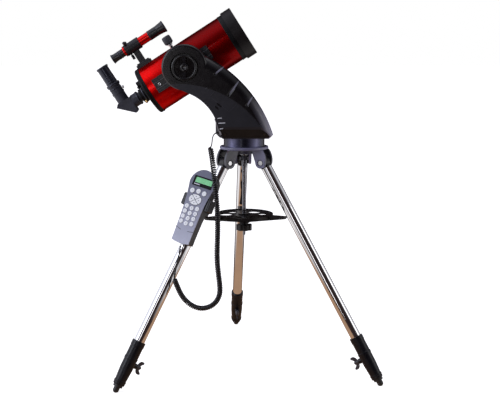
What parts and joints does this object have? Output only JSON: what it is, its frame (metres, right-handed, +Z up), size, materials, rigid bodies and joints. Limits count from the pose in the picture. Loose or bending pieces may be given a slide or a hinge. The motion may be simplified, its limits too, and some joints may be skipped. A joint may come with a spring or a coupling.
{
  "type": "computerised telescope mount",
  "caption": "Single-arm computerised alt-azimuth mount on a folding tripod, with a short telescope, finder, diagonal, eyepiece, accessory tray and corded handset.",
  "frame": {"origin": "on the ground, where the azimuth axis meets it", "axes": "+Z up along the azimuth axis; +X the way the telescope points, seen from above; +Y from the arm towards the telescope"},
  "size_m": [0.86, 0.7105, 1.0948],
  "materials": {
    "hub_casting": "satin",
    "leg_chrome": "polished",
    "steel": "satin",
    "black_plastic": "satin",
    "gloss_black": "gloss",
    "black_metal": "satin",
    "black_aluminium": "satin",
    "tube_paint": "gloss",
    "brass": "satin",
    "board_green": "satin",
    "lens_glass": "polished",
    "mirror_coat": "polished",
    "shell_grey": "satin",
    "key_white": "satin",
    "display_green": "gloss",
    "cord_rubber": "matte",
    "socket_panel": "satin"
  },
  "bodies": {
    "hub": {"tripod_hub": "hub_casting", "leg_pivot_bolts": "steel", "centre_rod": "steel", "azimuth_base": "black_aluminium"},
    "arm": {"arm_casing": "gloss_black", "arm_inner_cover": "black_plastic", "base_cover": "black_plastic", "port_panel": "socket_panel", "casing_screws": "steel", "worm_wheels": "brass", "drive_motors": "steel", "control_board": "board_green", "cord_plug": "black_plastic", "cord_top_lead": "cord_rubber"},
    "power_switch": {"power_switch": "gloss_black"},
    "saddle": {"saddle": "black_aluminium"},
    "clutch_knob": {"clutch_knob": "black_plastic"},
    "clamp_knob": {"clamp_knob": "black_plastic"},
    "tube": {"main_tube": "tube_paint", "rear_cell": "black_aluminium", "front_cell": "black_aluminium", "dovetail_bar": "black_aluminium", "corrector_lens": "lens_glass", "primary_mirror": "mirror_coat", "finder_shoe": "black_plastic"},
    "dust_cap": {"dust_cap": "black_plastic"},
    "focus_knob": {"focus_knob": "black_plastic"},
    "diagonal": {"diagonal_housing": "black_plastic"},
    "eyepiece": {"eyepiece": "black_aluminium"},
    "eyepiece_screw": {"eyepiece_screw": "steel"},
    "finder_bracket": {"finder_bracket": "black_plastic"},
    "finder_tube": {"finder_tube": "gloss_black"},
    "tray": {"accessory_tray": "black_plastic"},
    "tray_knob": {"tray_knob": "black_plastic"},
    "hub_knob": {"hub_knob": "black_plastic"},
    "menu_keys": {"menu_keys": "key_white"},
    "number_keys": {"number_keys": "key_white"},
    "key_up": {"key_up": "key_white"},
    "key_down": {"key_down": "key_white"},
    "key_left": {"key_left": "key_white"},
    "key_right": {"key_right": "key_white"},
    "leg_1": {"leg_1_tube": "leg_chrome", "leg_1_sleeve": "black_plastic", "handset_front": "shell_grey", "handset_back": "shell_grey", "handset_screen": "display_green", "handset_holder": "black_plastic", "cord_coil": "cord_rubber", "cord_bottom_lead": "cord_rubber"},
    "leg_1_lower": {"leg_1_lower": "leg_chrome"},
    "leg_1_screw": {"leg_1_screw": "black_plastic"},
    "leg_2": {"leg_2_tube": "leg_chrome", "leg_2_sleeve": "black_plastic"},
    "leg_2_lower": {"leg_2_lower": "leg_chrome"},
    "leg_2_screw": {"leg_2_screw": "black_plastic"},
    "leg_3": {"leg_3_tube": "leg_chrome", "leg_3_sleeve": "black_plastic"},
    "leg_3_lower": {"leg_3_lower": "leg_chrome"},
    "leg_3_screw": {"leg_3_screw": "black_plastic"}
  },
  "joints": [
    {"name": "azimuth_turn", "type": "hinge", "parent": "hub", "child": "arm", "pos_m": [0, 0, 0.711], "axis": [0, 0, 1], "continuous": true},
    {"name": "altitude_turn", "type": "hinge", "parent": "arm", "child": "saddle", "pos_m": [-0.173, 0, 0.92], "axis": [0, -1, 0], "range_deg": [-42.5, 57.5]},
    {"name": "clutch_knob_turn", "type": "hinge", "parent": "saddle", "child": "clutch_knob", "pos_m": [-0.173, -0.07, 0.92], "axis": [0, 1, 0], "continuous": true},
    {"name": "clamp_knob_turn", "type": "hinge", "parent": "saddle", "child": "clamp_knob", "pos_m": [-0.17637, 0.0065, 0.91785], "axis": [-0.5373, 0, 0.8434], "continuous": true},
    {"name": "dovetail_slide", "type": "slide", "parent": "saddle", "child": "tube", "axis": [0.8434, 0, 0.5373], "range_m": [-0.03, 0.03]},
    {"name": "dust_cap_pull", "type": "slide", "parent": "tube", "child": "dust_cap", "axis": [0.8434, 0, 0.5373], "range_m": [0, 0.06]},
    {"name": "focus_knob_turn", "type": "hinge", "parent": "tube", "child": "focus_knob", "pos_m": [-0.31778, 0.116, 0.86808], "axis": [0.8434, 0, 0.5373], "continuous": true},
    {"name": "diagonal_turn", "type": "hinge", "parent": "tube", "child": "diagonal", "pos_m": [-0.30794, 0.088, 0.83403], "axis": [-0.8434, 0, -0.5373], "range_deg": [-90, 90]},
    {"name": "eyepiece_pull", "type": "slide", "parent": "diagonal", "child": "eyepiece", "axis": [-0.5373, 0, 0.8434], "range_m": [0, 0.045]},
    {"name": "eyepiece_screw_turn", "type": "hinge", "parent": "diagonal", "child": "eyepiece_screw", "pos_m": [-0.37545, 0.088, 0.85624], "axis": [0.8434, 0, 0.5373], "continuous": true},
    {"name": "finder_slide", "type": "slide", "parent": "tube", "child": "finder_bracket", "axis": [0.8434, 0, 0.5373], "range_m": [0, 0.06]},
    {"name": "finder_aim", "type": "hinge", "parent": "finder_bracket", "child": "finder_tube", "pos_m": [-0.34015, 0.088, 0.97951], "axis": [0, 1, 0], "range_deg": [-1.5, 1.5]},
    {"name": "power_switch_rock", "type": "hinge", "parent": "arm", "child": "power_switch", "pos_m": [-0.0905, -0.05, 0.786], "axis": [0, 1, 0], "range_deg": [-4, 4]},
    {"name": "leg_1_fold", "type": "hinge", "parent": "hub", "child": "leg_1", "pos_m": [-0.05465, -0.037, 0.638], "axis": [0.5606, -0.8281, 0], "range_deg": [0, 24]},
    {"name": "leg_1_extend", "type": "slide", "parent": "leg_1", "child": "leg_1_lower", "axis": [-0.4252, -0.2879, -0.8581], "range_m": [0, 0.366]},
    {"name": "leg_1_screw_turn", "type": "hinge", "parent": "leg_1", "child": "leg_1_screw", "pos_m": [-0.33214, -0.22487, 0.07808], "axis": [0.7105, 0.4811, -0.5135], "continuous": true},
    {"name": "leg_2_fold", "type": "hinge", "parent": "hub", "child": "leg_2", "pos_m": [0.05937, -0.02883, 0.638], "axis": [0.4368, 0.8996, 0], "range_deg": [0, 24]},
    {"name": "leg_2_extend", "type": "slide", "parent": "leg_2", "child": "leg_2_lower", "axis": [0.462, -0.2243, -0.8581], "range_m": [0, 0.366]},
    {"name": "leg_2_screw_turn", "type": "hinge", "parent": "leg_2", "child": "leg_2_screw", "pos_m": [0.36081, -0.1752, 0.07808], "axis": [-0.7719, 0.3748, -0.5135], "continuous": true},
    {"name": "leg_3_fold", "type": "hinge", "parent": "hub", "child": "leg_3", "pos_m": [-0.00472, 0.06583, 0.638], "axis": [-0.9974, -0.0715, 0], "range_deg": [0, 24]},
    {"name": "leg_3_extend", "type": "slide", "parent": "leg_3", "child": "leg_3_lower", "axis": [-0.0367, 0.5122, -0.8581], "range_m": [0, 0.366]},
    {"name": "leg_3_screw_turn", "type": "hinge", "parent": "leg_3", "child": "leg_3_screw", "pos_m": [-0.02868, 0.40008, 0.07808], "axis": [0.0613, -0.8559, -0.5135], "continuous": true},
    {"name": "tray_drop", "type": "slide", "parent": "hub", "child": "tray", "axis": [0, 0, -1], "range_m": [0, 0.62]},
    {"name": "tray_knob_turn", "type": "hinge", "parent": "tray", "child": "tray_knob", "pos_m": [0, 0, 0.436], "axis": [0, 0, 1], "continuous": true},
    {"name": "hub_knob_turn", "type": "hinge", "parent": "hub", "child": "hub_knob", "pos_m": [0, 0, 0.645], "axis": [0, 0, 1], "continuous": true},
    {"name": "menu_keys_press", "type": "slide", "parent": "leg_1", "child": "menu_keys", "axis": [0.3905, 0.8376, -0.382], "range_m": [0, 0.001], "stiffness_N_per_m": 400, "springref_m": -0.0015},
    {"name": "number_keys_press", "type": "slide", "parent": "leg_1", "child": "number_keys", "axis": [0.3905, 0.8376, -0.382], "range_m": [0, 0.001], "stiffness_N_per_m": 400, "springref_m": -0.0015},
    {"name": "key_up_press", "type": "slide", "parent": "leg_1", "child": "key_up", "axis": [0.3905, 0.8376, -0.382], "range_m": [0, 0.001], "stiffness_N_per_m": 400, "springref_m": -0.0015},
    {"name": "key_down_press", "type": "slide", "parent": "leg_1", "child": "key_down", "axis": [0.3905, 0.8376, -0.382], "range_m": [0, 0.001], "stiffness_N_per_m": 400, "springref_m": -0.0015},
    {"name": "key_left_press", "type": "slide", "parent": "leg_1", "child": "key_left", "axis": [0.3905, 0.8376, -0.382], "range_m": [0, 0.001], "stiffness_N_per_m": 400, "springref_m": -0.0015},
    {"name": "key_right_press", "type": "slide", "parent": "leg_1", "child": "key_right", "axis": [0.3905, 0.8376, -0.382], "range_m": [0, 0.001], "stiffness_N_per_m": 400, "springref_m": -0.0015}
  ],
  "couplings": [
    {"joint": "leg_2_fold", "follows": "leg_1_fold", "ratio": 1},
    {"joint": "leg_3_fold", "follows": "leg_1_fold", "ratio": 1},
    {"joint": "tray_drop", "follows": "leg_1_fold", "m_per_rad": 1.48}
  ]
}
